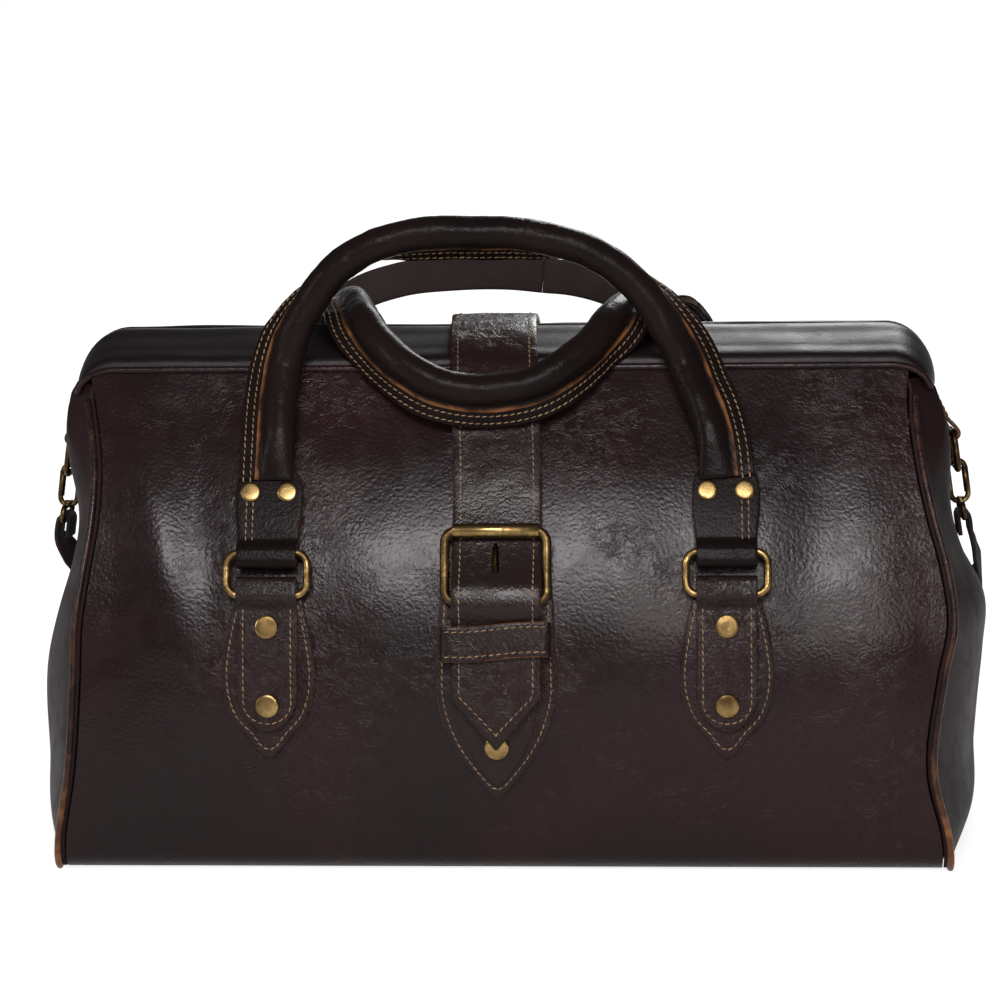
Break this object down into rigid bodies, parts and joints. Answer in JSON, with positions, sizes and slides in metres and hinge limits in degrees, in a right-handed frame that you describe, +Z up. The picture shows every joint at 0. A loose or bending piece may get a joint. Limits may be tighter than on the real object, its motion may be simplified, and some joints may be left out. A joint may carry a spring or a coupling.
{
  "type": "travel bag",
  "caption": "Leather travel bag with a hinged frame mouth, rolled handles on rings, a buckled closing strap and a flat shoulder strap.",
  "frame": {"origin": "middle of the bag's bottom, on the surface it stands on", "axes": "+X to the right as seen from the buckle side, +Y from the buckle side to the back, +Z up"},
  "size_m": [0.527, 0.2758, 0.3443],
  "materials": {
    "dark_leather": "waxed gloss",
    "flesh_leather": "matt flesh side",
    "antique_brass": "aged satin",
    "steel": "plain",
    "fibre_board": "plain"
  },
  "bodies": {
    "bag": {"wall_front": "dark_leather", "wall_back": "dark_leather", "wall_top_front": "dark_leather", "wall_top_back": "dark_leather", "gusset_left": "dark_leather", "gusset_right": "dark_leather", "gusset_top_left": "dark_leather", "gusset_top_right": "dark_leather", "welt_front_left": "dark_leather", "welt_front_right": "dark_leather", "welt_back_left": "dark_leather", "welt_back_right": "dark_leather", "base_leather": "dark_leather", "base_board": "fibre_board", "hinge_pin_left": "steel", "hinge_pin_right": "steel", "leaf_patch_front_left": "dark_leather", "leaf_patch_front_right": "dark_leather", "leaf_patch_back_left": "dark_leather", "leaf_patch_back_right": "dark_leather", "ring_tab_front_left": "dark_leather", "ring_tab_front_right": "dark_leather", "ring_tab_back_left": "dark_leather", "ring_tab_back_right": "dark_leather", "tab_rivet_front_left_upper": "antique_brass", "tab_rivet_front_left_lower": "antique_brass", "tab_rivet_front_right_upper": "antique_brass", "tab_rivet_front_right_lower": "antique_brass", "closing_strap": "dark_leather", "strap_leaf": "dark_leather", "buckle_chape": "dark_leather", "chape_rivet": "antique_brass", "strap_keeper": "dark_leather", "side_tab_left": "dark_leather", "side_tab_right": "dark_leather", "shoulder_strap": "flesh_leather"},
    "front_rings": {"ring_front_left": "antique_brass", "ring_front_right": "antique_brass"},
    "front_handle": {"handle_front": "dark_leather", "handle_rivet_front_left_outer": "antique_brass", "handle_rivet_front_left_inner": "antique_brass", "handle_rivet_front_right_outer": "antique_brass", "handle_rivet_front_right_inner": "antique_brass"},
    "back_rings": {"ring_back_left": "antique_brass", "ring_back_right": "antique_brass"},
    "back_handle": {"handle_back": "dark_leather"},
    "front_jaw": {"jaw_front": "steel", "jaw_cover_front": "dark_leather"},
    "back_jaw": {"jaw_back": "steel", "jaw_cover_back": "dark_leather"},
    "buckle": {"buckle_frame": "antique_brass"},
    "roller": {"buckle_roller": "antique_brass"},
    "prong": {"buckle_prong": "antique_brass"},
    "left_side_ring": {"side_ring_left": "antique_brass", "snap_hook_left": "antique_brass"},
    "right_side_ring": {"side_ring_right": "antique_brass", "snap_hook_right": "antique_brass"}
  },
  "joints": [
    {"name": "front_rings_swing", "type": "hinge", "parent": "bag", "child": "front_rings", "pos_m": [0, -0.11346, 0.14964], "axis": [1, 0, 0], "range_deg": [0, 60]},
    {"name": "front_handle_swing", "type": "hinge", "parent": "front_rings", "child": "front_handle", "pos_m": [0, -0.10789, 0.17154], "axis": [1, 0, 0], "range_deg": [0, 65]},
    {"name": "back_rings_swing", "type": "hinge", "parent": "bag", "child": "back_rings", "pos_m": [0, 0.11346, 0.14964], "axis": [-1, 0, 0], "range_deg": [0, 80]},
    {"name": "back_handle_swing", "type": "hinge", "parent": "back_rings", "child": "back_handle", "pos_m": [0, 0.10789, 0.17154], "axis": [-1, 0, 0], "range_deg": [0, 85]},
    {"name": "front_jaw_open", "type": "hinge", "parent": "bag", "child": "front_jaw", "pos_m": [0, 0, 0.225], "axis": [1, 0, 0], "range_deg": [0, 40], "deforming": ["wall_top_front", "gusset_top_left", "gusset_top_right"]},
    {"name": "back_jaw_open", "type": "hinge", "parent": "bag", "child": "back_jaw", "pos_m": [0, 0, 0.225], "axis": [-1, 0, 0], "range_deg": [0, 40], "deforming": ["wall_top_back"]},
    {"name": "buckle_frame_lift", "type": "hinge", "parent": "bag", "child": "buckle", "pos_m": [0, -0.11549, 0.14624], "axis": [1, 0, 0], "range_deg": [0, 35]},
    {"name": "buckle_prong_lift", "type": "hinge", "parent": "bag", "child": "prong", "pos_m": [0, -0.11549, 0.14624], "axis": [1, 0, 0], "range_deg": [0, 6]},
    {"name": "buckle_roller_spin", "type": "hinge", "parent": "buckle", "child": "roller", "pos_m": [0, -0.10616, 0.18256], "axis": [1, 0, 0], "continuous": true},
    {"name": "left_side_ring_swing", "type": "hinge", "parent": "bag", "child": "left_side_ring", "pos_m": [-0.2428, 0, 0.2195], "axis": [0, 1, 0], "range_deg": [0, 60], "deforming": ["shoulder_strap"]},
    {"name": "right_side_ring_swing", "type": "hinge", "parent": "bag", "child": "right_side_ring", "pos_m": [0.24698, 0, 0.2195], "axis": [0, -1, 0], "range_deg": [0, 60]}
  ]
}
